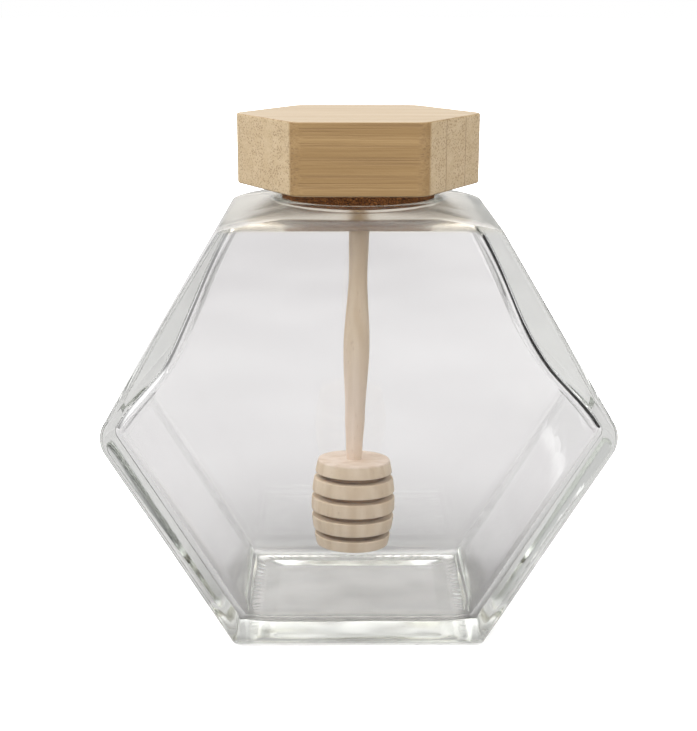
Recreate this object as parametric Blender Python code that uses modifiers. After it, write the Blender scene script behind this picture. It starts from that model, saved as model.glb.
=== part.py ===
"""Hexagonal glass storage jar with a cork stopper, a bamboo lid and a turned honey dipper.

The jar stands on one flat side of its hexagon and faces -Y. Metres, +Z up. The origin is
under the middle of the jar, on the surface it stands on.
"""

import math

import bmesh
import bpy
from mathutils import Matrix, Vector

COLLECTION_NAME = "glass_storage_jar"
GAP = 0.0003                    # clearance between neighbouring solids
MERGE_DISTANCE = 0.00001

# Glass body: a hexagon in front view, extruded front to back
BODY_DEPTH = 0.055
SIDE_CORNER_X = 0.0605          # sharp side corner of the hexagon, from the middle
SIDE_CORNER_Z = 0.0520
BASE_CORNER_X = 0.0292
SIDE_CORNER_RADIUS = 0.0070
PANEL_EDGE_RADIUS = 0.0016      # round edge between a panel and its side facets
HEEL_RADIUS_SIDE = 0.0025
HEEL_RADIUS_FRONT = 0.0038

# Underside: a bearing band round a shallow push-up
BEARING_BAND_WIDTH = 0.0045
PUSH_UP_HEIGHT = 0.001
PUSH_UP_SLOPE_WIDTH = 0.001

# Shoulder and mouth
SHOULDER_SIDE_Z = 0.1009        # height where the facets would meet the shoulder
SHOULDER_FRONT_Z = 0.1022       # the same over the front and back panels
SHOULDER_RADIUS_SIDE = 0.0035
SHOULDER_RADIUS_FRONT = 0.0025
SHOULDER_CORNER_RADIUS = 0.012  # in plan, where the shoulder starts
LIP_OUTER_RADIUS = 0.0204
LIP_FOOT_Z = 0.104
LIP_TOP_Z = 0.1045
LIP_EDGE = 0.0006               # rounding of the lip's two rims
BORE_RADIUS = 0.0183
BORE_FOOT_Z = 0.1014
BORE_FLARE_RADIUS = 0.002       # where the bore opens into the cavity

# Cavity
PANEL_WALL = 0.004              # front and back
UPPER_WALL = 0.0027             # behind the upper facets, without their bow
LOWER_WALL = 0.0039             # behind the lower facets
FLOOR_Z = 0.0045
FLOOR_RADIUS_SIDE = 0.0025
FLOOR_RADIUS_FRONT = 0.0045
CAVITY_EDGE_RADIUS = 0.0015
CAVITY_CORNER_RADIUS = 0.0025
CEILING_SIDE_Z = 0.0992
CEILING_FRONT_Z = 0.1001
CEILING_RADIUS_SIDE = 0.0015
CEILING_RADIUS_FRONT = 0.0012
# An upper facet's inner face bows in, most at one height
BOW = 0.0032
BOW_Z = 0.068
BOW_REACH_UP = 0.032
BOW_REACH_DOWN = 0.0135
# The upper part of the cavity lies a little off the middle
DRIFT = -0.0011
DRIFT_FROM_Z = 0.060
DRIFT_TO_Z = 0.080

# Divisions of the glass mesh
PANEL_DIVISIONS = 4             # along half a panel
EDGE_DIVISIONS = 4              # round one vertical edge
SIDE_DIVISIONS = 3              # along half a side
ARC_DIVISIONS = 4               # round an edge, bottom to top
FACET_DIVISIONS = 6             # up an inner facet
SHOULDER_DIVISIONS = 4

# Bamboo lid: a hexagonal block, its flat sides facing front and back
LID_CORNER_RADIUS = 0.0291      # sharp corner of the hexagon, from the middle
LID_BOTTOM_Z = 0.1073
LID_HEIGHT = 0.0163
LID_EDGE_RADIUS = 0.0043        # round vertical edges
LID_RIM_SOFTENING = 0.0004

# Cork stopper under the lid
CORK_RADIUS = BORE_RADIUS - GAP
CORK_FOOT_RADIUS = 0.0176
CORK_BOTTOM_Z = 0.1010
CORK_TOP_Z = LID_BOTTOM_Z - GAP
CORK_EDGE = 0.0004
CORK_STEPS = 48

# Turned dipper, hanging from the stopper
STEM_TOP_Z = 0.1052
STEM_TOP_RADIUS = 0.00235
STEM_TOP_X = 0.0004
SIDE_LEAN = math.radians(1.2)
FORWARD_LEAN = math.radians(5.0)
# height, as it hangs straight, and radius where the stem is turned thick or thin
STEM_BEADS = (
    (0.0951, 0.00238),
    (0.0864, 0.00222),
    (0.0677, 0.00314),
    (0.0512, 0.00242),
    (0.0427, 0.00200),
)
STEM_ROWS_PER_BEAD = 4
STEM_FOOT_RADIUS = 0.0018
HEAD_TOP_Z = 0.0405
HEAD_BOTTOM_Z = 0.0192
HEAD_TOP_RADIUS = 0.0088
HEAD_MIDDLE_RADIUS = 0.0102
HEAD_BOTTOM_RADIUS = 0.0087
GROOVE_COUNT = 4
FIRST_GROOVE_Z = 0.0367
GROOVE_PITCH = 0.0047
GROOVE_HEIGHT = 0.0013
GROOVE_DEPTH = 0.0030
RIDGE_ROUNDING = 0.0003
DIPPER_STEPS = 28


def fillet(before, corner, after, radius, divisions):
    """Return points round a corner of a 2D outline, from the first side to the second."""
    corner = Vector(corner)
    to_before = (Vector(before) - corner).normalized()
    to_after = (Vector(after) - corner).normalized()
    half_angle = to_before.angle(to_after) / 2
    centre = corner + (to_before + to_after).normalized() * radius / math.sin(half_angle)
    start = corner + to_before * radius / math.tan(half_angle) - centre
    end = corner + to_after * radius / math.tan(half_angle) - centre
    turn = math.pi - 2 * half_angle
    points = []
    for step in range(divisions + 1):
        share = step / divisions
        arm = start * math.sin((1 - share) * turn) + end * math.sin(share * turn)
        points.append(tuple(centre + arm / math.sin(turn)))
    return points


def facet_x(height):
    """Return the half width of the sharp outer hexagon at a height."""
    rise = abs(height - SIDE_CORNER_Z) / SIDE_CORNER_Z
    return SIDE_CORNER_X - (SIDE_CORNER_X - BASE_CORNER_X) * rise


def facet_slope():
    """Return how fast the hexagon narrows with height, per side."""
    return (SIDE_CORNER_X - BASE_CORNER_X) / SIDE_CORNER_Z


def cavity_x(height):
    """Return the half width of the sharp inner hexagon at a height, without its bow."""
    stretch = math.hypot(1, facet_slope())
    rise = facet_slope() * (height - SIDE_CORNER_Z)
    return SIDE_CORNER_X - max(rise + UPPER_WALL * stretch, LOWER_WALL * stretch - rise)


def cavity_corner_z():
    """Return the height where the inner faces of an upper and a lower facet meet."""
    stretch = math.hypot(1, facet_slope())
    return SIDE_CORNER_Z + (LOWER_WALL - UPPER_WALL) * stretch / facet_slope() / 2


def bow(height):
    """Return how far an upper facet's inner face bows in at a height."""
    reach = BOW_REACH_UP if height > BOW_Z else BOW_REACH_DOWN
    share = min(abs(height - BOW_Z) / reach, 1)
    return BOW * (1 + math.cos(math.pi * share)) / 2


def drift(height):
    """Return how far the cavity lies off the middle at a height."""
    share = min(max((height - DRIFT_FROM_Z) / (DRIFT_TO_Z - DRIFT_FROM_Z), 0), 1)
    return DRIFT * share * share * (3 - 2 * share)


def ring(side, front, edge_radius, roundness=0.0, circle_radius=0.0, circle_z=0.0):
    """Return the points of one ring of the glass, all the way round.

    The ring is a rounded rectangle. side is (half width, height) and front is
    (half depth, height). roundness moves it towards a circle at circle_z.
    """
    half_width, side_z = side
    half_depth, front_z = front
    radius_y = edge_radius
    radius_x = edge_radius * 1.155
    quarter = []
    for step in range(PANEL_DIVISIONS):
        share = step / PANEL_DIVISIONS
        quarter.append((share * (half_width - radius_x), half_depth, front_z))
    for step in range(EDGE_DIVISIONS + 1):
        angle = math.pi / 2 * step / EDGE_DIVISIONS
        weight = math.sin(angle) ** 2
        x = half_width - radius_x + radius_x * math.sin(angle)
        y = half_depth - radius_y + radius_y * math.cos(angle)
        quarter.append((x, y, front_z + (side_z - front_z) * weight))
    for step in range(1, SIDE_DIVISIONS + 1):
        share = step / SIDE_DIVISIONS
        quarter.append((half_width, (1 - share) * (half_depth - radius_y), side_z))

    last = len(quarter) - 1
    rounded = []
    for step, point in enumerate(quarter):
        angle = math.pi / 2 * step / last
        on_circle = Vector((circle_radius * math.sin(angle), circle_radius * math.cos(angle), circle_z))
        rounded.append(Vector(point).lerp(on_circle, roundness))

    points = []
    for mirror_x, mirror_y, run in ((1, 1, rounded), (1, -1, rounded[::-1]),
                                    (-1, -1, rounded), (-1, 1, rounded[::-1])):
        for point in run[:-1]:
            points.append(Vector((point.x * mirror_x, point.y * mirror_y, point.z)))
    return points


def circle_ring(radius, height):
    """Return one round ring of the mouth."""
    return ring((radius, height), (radius, height), radius * 0.5, 1.0, radius, height)


def cavity_ring(side, front, edge_radius, roundness=0.0, circle_radius=0.0, circle_z=0.0):
    """Return the points of one ring of the cavity, moved with the cavity's drift."""
    offset = Vector((drift(side[1]) * (1 - roundness), 0, 0))
    points = ring(side, front, edge_radius, roundness, circle_radius, circle_z)
    return [point + offset for point in points]


def outer_rings():
    """Return the rings of the underside and the outer walls, bottom to top."""
    half_depth = BODY_DEPTH / 2
    side_heel = fillet((0, 0), (BASE_CORNER_X, 0), (SIDE_CORNER_X, SIDE_CORNER_Z),
                       HEEL_RADIUS_SIDE, ARC_DIVISIONS)
    front_heel = fillet((0, 0), (half_depth, 0), (half_depth, SIDE_CORNER_Z),
                        HEEL_RADIUS_FRONT, ARC_DIVISIONS)
    band_x = side_heel[0][0] - BEARING_BAND_WIDTH
    band_y = front_heel[0][0] - BEARING_BAND_WIDTH
    inner_x = band_x - PUSH_UP_SLOPE_WIDTH
    inner_y = band_y - PUSH_UP_SLOPE_WIDTH
    edge = PANEL_EDGE_RADIUS
    rings = [
        ring((inner_x, PUSH_UP_HEIGHT), (inner_y, PUSH_UP_HEIGHT), edge * 0.6),
        ring((band_x, 0), (band_y, 0), edge * 0.7),
    ]
    for step, (side, front) in enumerate(zip(side_heel, front_heel)):
        rings.append(ring(side, front, edge * (0.8 + 0.2 * step / ARC_DIVISIONS)))

    side_corner = (SIDE_CORNER_X, SIDE_CORNER_Z)
    side_shoulder = (facet_x(SHOULDER_SIDE_Z), SHOULDER_SIDE_Z)
    corner_arc = fillet((BASE_CORNER_X, 0), side_corner, side_shoulder,
                        SIDE_CORNER_RADIUS, ARC_DIVISIONS)
    for x, z in corner_arc:
        rings.append(ring((x, z), (half_depth, z), edge))

    lip_foot = (LIP_OUTER_RADIUS, LIP_FOOT_Z)
    side_top = fillet(side_corner, side_shoulder, lip_foot, SHOULDER_RADIUS_SIDE,
                      ARC_DIVISIONS)
    front_top = fillet((half_depth, SIDE_CORNER_Z), (half_depth, SHOULDER_FRONT_Z), lip_foot,
                       SHOULDER_RADIUS_FRONT, ARC_DIVISIONS)
    for step, (side, front) in enumerate(zip(side_top, front_top)):
        growth = (SHOULDER_CORNER_RADIUS - edge) * step / ARC_DIVISIONS
        rings.append(ring(side, front, edge + growth))
    for step in range(1, SHOULDER_DIVISIONS):
        share = step / SHOULDER_DIVISIONS
        rings.append(ring(side_top[-1], front_top[-1], SHOULDER_CORNER_RADIUS, share, *lip_foot))
    return rings


def mouth_rings():
    """Return the rings over the lip and down the bore."""
    flare = fillet((BORE_RADIUS, LIP_TOP_Z), (BORE_RADIUS, BORE_FOOT_Z),
                   (BODY_DEPTH, BORE_FOOT_Z), BORE_FLARE_RADIUS, ARC_DIVISIONS)
    return [
        circle_ring(LIP_OUTER_RADIUS, LIP_FOOT_Z),
        circle_ring(LIP_OUTER_RADIUS - LIP_EDGE, LIP_TOP_Z),
        circle_ring(BORE_RADIUS + LIP_EDGE, LIP_TOP_Z),
        circle_ring(BORE_RADIUS, LIP_TOP_Z - LIP_EDGE),
        *[circle_ring(radius, height) for radius, height in flare],
    ]


def inner_facet(side_heights, panel_heights, is_bowed):
    """Return stations down an inner facet: its (half width, height) and the panel's height.

    side_heights and panel_heights are where the facet and the panel start and end.
    """
    stations = []
    for step in range(1, FACET_DIVISIONS):
        share = step / FACET_DIVISIONS
        height = side_heights[0] + (side_heights[1] - side_heights[0]) * share
        panel_z = panel_heights[0] + (panel_heights[1] - panel_heights[0]) * share
        inward = bow(height) if is_bowed else 0
        stations.append(((cavity_x(height) - inward, height), panel_z))
    return stations


def cavity_rings():
    """Return the rings of the cavity, top to bottom."""
    half_depth = BODY_DEPTH / 2 - PANEL_WALL
    bore_foot = (BORE_RADIUS + BORE_FLARE_RADIUS, BORE_FOOT_Z)
    side_corner = (cavity_x(cavity_corner_z()), cavity_corner_z())
    side_ceiling = (cavity_x(CEILING_SIDE_Z), CEILING_SIDE_Z)
    side_floor_corner = (cavity_x(FLOOR_Z), FLOOR_Z)
    side_top = fillet(bore_foot, side_ceiling, side_corner, CEILING_RADIUS_SIDE,
                      ARC_DIVISIONS)
    front_top = fillet(bore_foot, (half_depth, CEILING_FRONT_Z), (half_depth, SIDE_CORNER_Z),
                       CEILING_RADIUS_FRONT, ARC_DIVISIONS)
    edge = CAVITY_EDGE_RADIUS
    rings = []
    for step in range(1, SHOULDER_DIVISIONS):
        share = 1 - step / SHOULDER_DIVISIONS
        rings.append(cavity_ring(side_top[0], front_top[0], edge * 0.8, share, *bore_foot))
    for step, (side, front) in enumerate(zip(side_top, front_top)):
        rings.append(cavity_ring(side, front, edge * (0.8 + 0.2 * step / ARC_DIVISIONS)))

    corner_arc = fillet(side_ceiling, side_corner, side_floor_corner, CAVITY_CORNER_RADIUS,
                        ARC_DIVISIONS)
    side_floor = fillet(side_corner, side_floor_corner, (0, FLOOR_Z), FLOOR_RADIUS_SIDE,
                        ARC_DIVISIONS)
    front_floor = fillet((half_depth, SIDE_CORNER_Z), (half_depth, FLOOR_Z), (0, FLOOR_Z),
                         FLOOR_RADIUS_FRONT, ARC_DIVISIONS)
    corner_top, corner_foot = corner_arc[0][1], corner_arc[-1][1]
    stations = inner_facet((side_top[-1][1], corner_top), (front_top[-1][1], corner_top), True)
    stations += [(point, point[1]) for point in corner_arc]
    stations += inner_facet((corner_foot, side_floor[0][1]), (corner_foot, front_floor[0][1]),
                            False)
    for side, panel_z in stations:
        rings.append(cavity_ring(side, (half_depth, panel_z), edge))
    for step, (side, front) in enumerate(zip(side_floor, front_floor)):
        rings.append(cavity_ring(side, front, edge * (1 + 0.8 * step / ARC_DIVISIONS)))
    return rings


def loft(name, rings, first_height, last_height):
    """Return a closed mesh through the rings, with a middle point to each end."""
    mesh = bmesh.new()
    rows = []
    for points in rings:
        rows.append([mesh.verts.new(point) for point in points])
    count = len(rows[0])
    for lower, upper in zip(rows, rows[1:]):
        for index in range(count):
            following = (index + 1) % count
            mesh.faces.new((lower[index], lower[following], upper[following], upper[index]))
    first = mesh.verts.new((0, 0, first_height))
    last = mesh.verts.new((0, 0, last_height))
    for index in range(count):
        following = (index + 1) % count
        mesh.faces.new((first, rows[0][following], rows[0][index]))
        mesh.faces.new((last, rows[-1][index], rows[-1][following]))
    bmesh.ops.recalc_face_normals(mesh, faces=mesh.faces)
    data = bpy.data.meshes.new(name)
    mesh.to_mesh(data)
    mesh.free()
    return data


def hexagonal_block(name, corner_radius, height, edge_radius, softening):
    """Return a mesh of a hexagonal block with round vertical edges, standing on z = 0."""
    mesh = bmesh.new()
    bmesh.ops.create_cone(mesh, cap_ends=True, segments=6, radius1=corner_radius,
                          radius2=corner_radius, depth=height,
                          matrix=Matrix.Translation((0, 0, height / 2)))
    corner = max(mesh.verts, key=lambda vertex: vertex.co.x)
    turn = math.atan2(corner.co.y, corner.co.x)
    bmesh.ops.rotate(mesh, verts=mesh.verts, matrix=Matrix.Rotation(-turn, 3, "Z"))
    upright = [edge for edge in mesh.edges
               if abs(edge.verts[0].co.z - edge.verts[1].co.z) > height / 2]
    setback = edge_radius * math.tan(math.radians(30))
    bmesh.ops.bevel(mesh, geom=upright, offset=setback, offset_type="OFFSET", segments=6,
                    profile=0.5, affect="EDGES")
    rims = [edge for edge in mesh.edges
            if abs(edge.verts[0].co.z - edge.verts[1].co.z) < height / 100]
    bmesh.ops.bevel(mesh, geom=rims, offset=softening, offset_type="OFFSET", segments=2,
                    profile=0.5, affect="EDGES")
    data = bpy.data.meshes.new(name)
    mesh.to_mesh(data)
    mesh.free()
    return data


def turned(name, profile, steps):
    """Return an object turned about Z from (radius, height) points, outer side top to bottom."""
    data = bpy.data.meshes.new(name)
    points = [(radius, 0, height) for radius, height in profile]
    edges = [(index, index + 1) for index in range(len(points) - 1)]
    data.from_pydata(points, edges, [])
    turned_object = bpy.data.objects.new(name, data)
    screw = turned_object.modifiers.new("Turning", "SCREW")
    screw.axis = "Z"
    screw.angle = math.tau
    screw.steps = steps
    screw.render_steps = steps
    screw.use_merge_vertices = True
    screw.merge_threshold = MERGE_DISTANCE
    screw.use_smooth_shade = True
    return turned_object


def finish(name, colour, roughness, metallic=0.0, transmission=0.0):
    """Return a Principled material."""
    material = bpy.data.materials.new(name)
    material.use_nodes = True
    shader = material.node_tree.nodes["Principled BSDF"]
    shader.inputs["Base Color"].default_value = (*colour, 1.0)
    shader.inputs["Roughness"].default_value = roughness
    shader.inputs["Metallic"].default_value = metallic
    shader.inputs["Transmission Weight"].default_value = transmission
    material.diffuse_color = (*colour, 1.0)
    return material


def make_glass_jar():
    """Return the hollow glass body, open at its mouth."""
    rings = outer_rings() + mouth_rings() + cavity_rings()
    data = loft("glass_jar", rings, PUSH_UP_HEIGHT, FLOOR_Z)
    data.shade_smooth()
    data.set_sharp_from_angle(angle=math.radians(35))
    data.materials.append(finish("clear_glass", (0.86, 0.88, 0.87), 0.02, 0.0, 1.0))
    return bpy.data.objects.new("glass_jar", data)


def make_lid():
    """Return the bamboo lid."""
    data = hexagonal_block("bamboo_lid", LID_CORNER_RADIUS, LID_HEIGHT, LID_EDGE_RADIUS,
                           LID_RIM_SOFTENING)
    data.shade_smooth()
    data.set_sharp_from_angle(angle=math.radians(25))
    data.materials.append(finish("bamboo", (0.60, 0.43, 0.24), 0.5))
    lid = bpy.data.objects.new("bamboo_lid", data)
    lid.location.z = LID_BOTTOM_Z
    return lid


def make_cork():
    """Return the cork stopper, with a blind hole that leaves room for the stem's lean."""
    hole_radius = STEM_TOP_RADIUS + (STEM_TOP_Z - CORK_BOTTOM_Z) * math.tan(FORWARD_LEAN) + GAP
    hole_top_z = STEM_TOP_Z + STEM_TOP_RADIUS * math.sin(FORWARD_LEAN) + GAP
    profile = [
        (0, CORK_TOP_Z),
        (CORK_RADIUS - CORK_EDGE, CORK_TOP_Z),
        (CORK_RADIUS, CORK_TOP_Z - CORK_EDGE),
        (CORK_RADIUS, LIP_TOP_Z - LIP_EDGE),
        (CORK_FOOT_RADIUS, CORK_BOTTOM_Z + CORK_EDGE),
        (CORK_FOOT_RADIUS - CORK_EDGE, CORK_BOTTOM_Z),
        (hole_radius, CORK_BOTTOM_Z),
        (hole_radius, hole_top_z),
        (0, hole_top_z),
    ]
    cork = turned("cork_stopper", profile, CORK_STEPS)
    cork.data.materials.append(finish("dark_cork", (0.12, 0.055, 0.02), 0.8))
    return cork


def stem_profile():
    """Return the stem's (radius, height) points, top to bottom."""
    stations = [(STEM_TOP_Z, STEM_TOP_RADIUS), *STEM_BEADS, (HEAD_TOP_Z, STEM_FOOT_RADIUS)]
    profile = [(0, STEM_TOP_Z)]
    for (upper_z, upper_radius), (lower_z, lower_radius) in zip(stations, stations[1:]):
        for step in range(STEM_ROWS_PER_BEAD):
            share = step / STEM_ROWS_PER_BEAD
            blend = (1 - math.cos(math.pi * share)) / 2
            radius = upper_radius + (lower_radius - upper_radius) * blend
            profile.append((radius, upper_z + (lower_z - upper_z) * share))
    profile.append((STEM_FOOT_RADIUS, HEAD_TOP_Z))
    return profile


def head_radius(height):
    """Return the radius of the head's barrel shape at a height."""
    share = (HEAD_TOP_Z - height) / (HEAD_TOP_Z - HEAD_BOTTOM_Z)
    ends = HEAD_TOP_RADIUS + (HEAD_BOTTOM_RADIUS - HEAD_TOP_RADIUS) * share
    return ends + (HEAD_MIDDLE_RADIUS - ends) * math.sin(math.pi * share)


def head_profile():
    """Return the grooved head's (radius, height) points, top to bottom."""
    tops = [HEAD_TOP_Z]
    bottoms = []
    for groove in range(GROOVE_COUNT):
        middle = FIRST_GROOVE_Z - groove * GROOVE_PITCH
        bottoms.append(middle + GROOVE_HEIGHT / 2)
        tops.append(middle - GROOVE_HEIGHT / 2)
    bottoms.append(HEAD_BOTTOM_Z)
    profile = []
    for number, (top, bottom) in enumerate(zip(tops, bottoms)):
        if number > 0:
            profile.append((head_radius(top) - GROOVE_DEPTH, top))
        profile.append((head_radius(top) - RIDGE_ROUNDING, top))
        profile.append((head_radius(top - RIDGE_ROUNDING), top - RIDGE_ROUNDING))
        profile.append((head_radius(bottom + RIDGE_ROUNDING), bottom + RIDGE_ROUNDING))
        profile.append((head_radius(bottom) - RIDGE_ROUNDING, bottom))
        if number < GROOVE_COUNT:
            profile.append((head_radius(bottom) - GROOVE_DEPTH, bottom))
    profile.append((0, HEAD_BOTTOM_Z))
    return profile


def make_dipper():
    """Return the wooden dipper, leaning forward and a little sideways in its hole."""
    profile = []
    for radius, height in stem_profile() + head_profile():
        profile.append((radius, height - STEM_TOP_Z))
    dipper = turned("honey_dipper", profile, DIPPER_STEPS)
    dipper.location = (STEM_TOP_X, 0, STEM_TOP_Z)
    dipper.rotation_euler = (-FORWARD_LEAN, SIDE_LEAN, 0)
    dipper.data.materials.append(finish("pale_beech", (0.66, 0.50, 0.36), 0.55))
    return dipper


def main():
    """Clear the scene and build the jar, its stopper, its lid and the dipper."""
    for existing in list(bpy.data.objects):
        bpy.data.objects.remove(existing, do_unlink=True)
    collection = bpy.data.collections.new(COLLECTION_NAME)
    bpy.context.scene.collection.children.link(collection)
    for make in (make_glass_jar, make_cork, make_lid, make_dipper):
        collection.objects.link(make())


main()
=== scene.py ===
"""Dress and light the hexagonal glass storage jar.

The jar's solids come in as a fixed frame. Each one is replaced by a finer piece in the same
place: a moulded glass body, a pressed cork stopper, a laminated bamboo lid and a turned beech
dipper. Metres, +Z up, and the jar faces -Y.
"""

from __future__ import annotations

import logging
import math
from dataclasses import dataclass, field
from enum import Enum
from typing import Any, Optional, Sequence, Union

import bmesh
import bpy
from mathutils import Matrix, Vector

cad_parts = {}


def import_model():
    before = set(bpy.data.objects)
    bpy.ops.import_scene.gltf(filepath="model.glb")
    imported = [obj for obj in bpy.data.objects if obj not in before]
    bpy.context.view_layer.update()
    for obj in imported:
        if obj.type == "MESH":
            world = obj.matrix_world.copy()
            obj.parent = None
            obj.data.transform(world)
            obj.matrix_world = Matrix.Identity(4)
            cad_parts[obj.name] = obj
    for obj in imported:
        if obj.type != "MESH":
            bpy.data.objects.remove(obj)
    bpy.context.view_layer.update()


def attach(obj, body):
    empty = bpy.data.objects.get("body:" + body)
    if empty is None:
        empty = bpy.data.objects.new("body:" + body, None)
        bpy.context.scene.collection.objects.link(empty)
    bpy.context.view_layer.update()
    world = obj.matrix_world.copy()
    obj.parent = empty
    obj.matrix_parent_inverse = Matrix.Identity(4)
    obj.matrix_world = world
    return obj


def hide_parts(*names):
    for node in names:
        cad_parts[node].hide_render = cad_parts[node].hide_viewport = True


LOG = logging.getLogger("glass_storage_jar")
BODY = "root"
CRISP_ANGLE = math.radians(50)      # edges sharper than this keep a hard line

Point2 = tuple[float, float]
Triple = tuple[float, float, float]
VECTOR_TYPES = ("VECTOR", "RGBA")


# --- Shader graph ---


class Cells(Enum):
    """What a cell pattern gives: the texture's feature and its output."""

    DISTANCE = ("F1", "Distance")
    TINT = ("F1", "Color")
    EDGE = ("DISTANCE_TO_EDGE", "Distance")


@dataclass(frozen=True)
class Shade:
    """A node's output socket, which can be used in arithmetic."""

    graph: "Graph"
    socket: bpy.types.NodeSocket

    def _math(self, operation: str, first: "Term", second: "Term" = 0.0) -> "Shade":
        """Return what a Math or Vector Math node makes of two operands."""
        kind = "ShaderNodeVectorMath" if self.socket.type in VECTOR_TYPES else "ShaderNodeMath"
        return self.graph.add(kind, {"operation": operation}, {0: first, 1: second})

    def __add__(self, other: "Term") -> "Shade":
        """Return self + other."""
        return self._math("ADD", self, other)

    __radd__ = __add__

    def __sub__(self, other: "Term") -> "Shade":
        """Return self - other."""
        return self._math("SUBTRACT", self, other)

    def __rsub__(self, other: "Term") -> "Shade":
        """Return other - self."""
        return self._math("SUBTRACT", other, self)

    def __mul__(self, other: "Term") -> "Shade":
        """Return self * other."""
        return self._math("MULTIPLY", self, other)

    __rmul__ = __mul__

    def __truediv__(self, other: "Term") -> "Shade":
        """Return self / other."""
        return self._math("DIVIDE", self, other)

    def __pow__(self, other: "Term") -> "Shade":
        """Return self to the power of other."""
        return self._math("POWER", self, other)

    def __abs__(self) -> "Shade":
        """Return the size of self."""
        return self._math("ABSOLUTE", self)

    def at_least(self, limit: "Term") -> "Shade":
        """Return the larger of self and limit."""
        return self._math("MAXIMUM", self, limit)

    def floor(self) -> "Shade":
        """Return self rounded down."""
        return self._math("FLOOR", self)

    def part(self) -> "Shade":
        """Return what is left of self above its whole number."""
        return self._math("FRACT", self)

    def step(self, low: float, high: float) -> "Shade":
        """Return 0 below low and 1 above high, with a smooth passage between.

        Args:
            low: Where the passage starts.
            high: Where it ends. It may lie below low, which turns the passage round.

        Returns:
            The smoothed step.
        """
        if high < low:
            return 1.0 - self.step(high, low)
        return self.graph.add("ShaderNodeMapRange", {"interpolation_type": "SMOOTHSTEP"},
                              {"Value": self, "From Min": low, "From Max": high})

    def axis(self, name: str) -> "Shade":
        """Return one component of a vector, "X", "Y" or "Z"."""
        return self.graph.add("ShaderNodeSeparateXYZ", {}, {"Vector": self}, name)

    def along(self, direction: Sequence[float]) -> "Shade":
        """Return the dot product of a vector with a direction."""
        return self.graph.add("ShaderNodeVectorMath", {"operation": "DOT_PRODUCT"},
                              {0: self, 1: tuple(direction)}, "Value")

    def length(self) -> "Shade":
        """Return the length of a vector."""
        return self.graph.add("ShaderNodeVectorMath", {"operation": "LENGTH"}, {0: self}, "Value")


Term = Union[Shade, float, Sequence[float]]


class Graph:
    """A node tree that is being wired."""

    def __init__(self, tree: bpy.types.NodeTree) -> None:
        """Empty the node tree of a material or world."""
        self.tree = tree
        tree.nodes.clear()

    @staticmethod
    def _socket(sockets: Any, key: Union[int, str]) -> bpy.types.NodeSocket:
        """Return a socket by its place, identifier or name.

        Args:
            sockets: A node's inputs or outputs.
            key: The place, identifier or name.

        Returns:
            The socket.
        """
        if isinstance(key, int):
            return sockets[key]
        for socket in sockets:
            if socket.identifier == key:
                return socket
        return sockets[key]

    def add(self, kind: str, settings: Optional[dict[str, Any]] = None,
            inputs: Optional[dict[Union[int, str], Term]] = None,
            output: Union[int, str] = 0) -> Shade:
        """Add one node and return one of its outputs.

        Args:
            kind: The node's type.
            settings: Its settings, set before its sockets.
            inputs: Values or links of its sockets, by place, identifier or name.
            output: The output that is returned.

        Returns:
            The chosen output socket.
        """
        node = self.tree.nodes.new(kind)
        for name, value in (settings or {}).items():
            setattr(node, name, value)
        for key, value in (inputs or {}).items():
            socket = self._socket(node.inputs, key)
            if isinstance(value, Shade):
                self.tree.links.new(value.socket, socket)
            elif socket.type == "RGBA" and len(value) == 3:
                socket.default_value = (*value, 1.0)
            else:
                socket.default_value = value
        if not node.outputs:
            return Shade(self, node.inputs[0])
        return Shade(self, self._socket(node.outputs, output))

    def mix(self, factor: Term, first: Term, second: Term) -> Shade:
        """Lay one colour over another.

        Args:
            factor: How much of the second shows, from 0 to 1.
            first: The colour below.
            second: The colour laid over it.

        Returns:
            The mixed colour.
        """
        return self.add("ShaderNodeMix", {"data_type": "RGBA"},
                        {"Factor_Float": factor, "A_Color": first, "B_Color": second},
                        "Result_Color")

    def place(self) -> Shade:
        """Return the position on the object, in metres."""
        return self.add("ShaderNodeTexCoord", output="Object")

    def noise(self, where: Shade, scale: float, detail: float = 3.0, rough: float = 0.5) -> Shade:
        """Return cloudy noise from 0 to 1.

        Args:
            where: The position to read it at.
            scale: Features per unit of position.
            detail: Number of finer layers.
            rough: Strength of the finer layers.

        Returns:
            The noise value.
        """
        return self.add("ShaderNodeTexNoise", {}, {
            "Vector": where, "Scale": scale, "Detail": detail, "Roughness": rough})

    def fibrous(self, where: Shade, scale: Triple, detail: float = 1.0,
                rough: float = 0.5) -> Shade:
        """Return noise that is stretched by a scale of its own along each axis."""
        return self.noise(where * scale, 1.0, detail, rough)

    def cells(self, where: Shade, scale: float, kind: Cells = Cells.DISTANCE) -> Shade:
        """Return a cell pattern.

        Args:
            where: The position to read it at.
            scale: Cells per unit of position.
            kind: What the pattern gives.

        Returns:
            The pattern's value or colour.
        """
        feature, output = kind.value
        return self.add("ShaderNodeTexVoronoi", {"feature": feature},
                        {"Vector": where, "Scale": scale}, output)

    def bump(self, height: Shade, depth: float) -> Shade:
        """Return a normal that is tilted by a relief of a given depth in metres."""
        return self.add("ShaderNodeBump", {}, {"Height": height, "Distance": depth}, "Normal")


def new_material(name: str) -> tuple[bpy.types.Material, Graph]:
    """Make a material with an empty node tree.

    Args:
        name: The material's name.

    Returns:
        The material and its tree's graph.
    """
    material = bpy.data.materials.new(name)
    material.use_nodes = True
    return material, Graph(material.node_tree)


def close_material(graph: Graph, sockets: dict[str, Term],
                   inside: Optional[Shade] = None) -> None:
    """Wire a Principled shader to the material's output.

    Args:
        graph: The material's graph.
        sockets: Values and links of the shader's sockets.
        inside: What fills the piece, for a clear one.
    """
    ends: dict[Union[int, str], Term] = {
        "Surface": graph.add("ShaderNodeBsdfPrincipled", {}, sockets, "BSDF")}
    if inside is not None:
        ends["Volume"] = inside
    graph.add("ShaderNodeOutputMaterial", {}, ends)


# --- Finishes ---


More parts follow.
